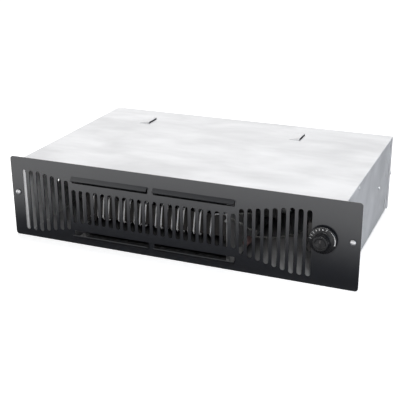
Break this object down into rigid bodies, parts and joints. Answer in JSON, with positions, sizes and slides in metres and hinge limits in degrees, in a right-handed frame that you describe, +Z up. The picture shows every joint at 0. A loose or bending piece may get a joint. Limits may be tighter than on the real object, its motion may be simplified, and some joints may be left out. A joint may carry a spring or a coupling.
{
  "type": "plinth fan convector heater",
  "caption": "Low galvanised fan heater for a cabinet plinth, with a black slotted front grille, open wire element, cross-flow blower and a thermostat knob.",
  "frame": {"origin": "centre of the bounding box in plan, at the height of the grille's lower edge", "axes": "+X to the right along the grille as seen from the front, +Y from the grille to the rear panel, +Z up"},
  "size_m": [0.47, 0.289, 0.1135],
  "materials": {
    "black_painted_steel": "satin black powder coat",
    "galvanised_steel": "bright galvanised sheet with a soft spangle",
    "bright_steel": "bright zinc-plated steel",
    "black_plastic": "fine satin moulded black plastic",
    "resistance_wire": "drawn nickel-chromium wire",
    "mica_board": "dull dark mica board",
    "aluminium": "plain mill aluminium",
    "lamination_steel": "varnished steel laminations",
    "winding_tape": "amber winding tape",
    "brass": "plain brass",
    "sintered_bronze": "oiled sintered bronze",
    "black_rubber": "dull black rubber",
    "cream_plastic": "cream moulded plastic",
    "dark_phenolic": "dark brown phenolic moulding",
    "red_plastic": "dull red moulded plastic",
    "black_lead": "black insulated lead",
    "red_lead": "red insulated lead",
    "white_lead": "white insulated lead"
  },
  "bodies": {
    "casing": {"front_grille": "black_painted_steel", "grille_screw_left": "bright_steel", "grille_screw_right": "bright_steel", "chassis_pan": "galvanised_steel", "top_cover": "galvanised_steel", "rear_panel": "galvanised_steel", "cover_rivet_left": "bright_steel", "cover_rivet_right": "bright_steel", "compartment_rivet": "bright_steel", "rear_panel_screw_left": "bright_steel", "rear_panel_screw_right": "bright_steel", "duct_plate_left": "galvanised_steel", "duct_plate_right": "galvanised_steel", "scroll_wall": "galvanised_steel", "duct_roof": "galvanised_steel", "bearing_grommet": "black_rubber", "stub_bearing": "sintered_bronze", "stator_core": "lamination_steel", "stator_winding": "winding_tape", "motor_bracket_inner": "aluminium", "motor_bracket_outer": "aluminium", "motor_bearing_inner": "sintered_bronze", "motor_bearing_outer": "sintered_bronze", "motor_spacer_low": "black_rubber", "motor_spacer_high": "black_rubber", "motor_screw_low": "bright_steel", "motor_screw_high": "bright_steel", "heating_coil": "resistance_wire", "mica_board": "mica_board", "element_stud_left": "bright_steel", "element_stud_high": "bright_steel", "element_stud_low": "bright_steel", "element_return_wire": "resistance_wire", "limit_thermostat": "dark_phenolic", "thermostat_body": "dark_phenolic", "thermostat_nut": "brass", "wiring_compartment": "galvanised_steel", "terminal_block": "cream_plastic", "earth_screw": "brass", "cable_bush": "black_plastic", "wire_connector": "red_plastic", "lead_supply_line": "black_lead", "lead_thermostat_limiter": "red_lead", "lead_limiter_element": "red_lead", "lead_element_neutral": "white_lead", "lead_supply_neutral": "white_lead", "lead_motor_line": "black_lead", "lead_motor_neutral": "white_lead"},
    "blower_rotor": {"blower_wheel": "aluminium", "stub_axle": "bright_steel", "motor_shaft": "bright_steel", "rotor_core": "lamination_steel", "motor_cooling_fan": "black_plastic"},
    "thermostat_dial": {"thermostat_knob": "black_plastic", "thermostat_spindle": "bright_steel"}
  },
  "joints": [
    {"name": "blower_spin", "type": "hinge", "parent": "casing", "child": "blower_rotor", "pos_m": [0, -0.001, 0.057], "axis": [1, 0, 0], "continuous": true},
    {"name": "thermostat_turn", "type": "hinge", "parent": "casing", "child": "thermostat_dial", "pos_m": [0.191, -0.129, 0.06], "axis": [0, 1, 0], "range_deg": [0, 280]}
  ]
}
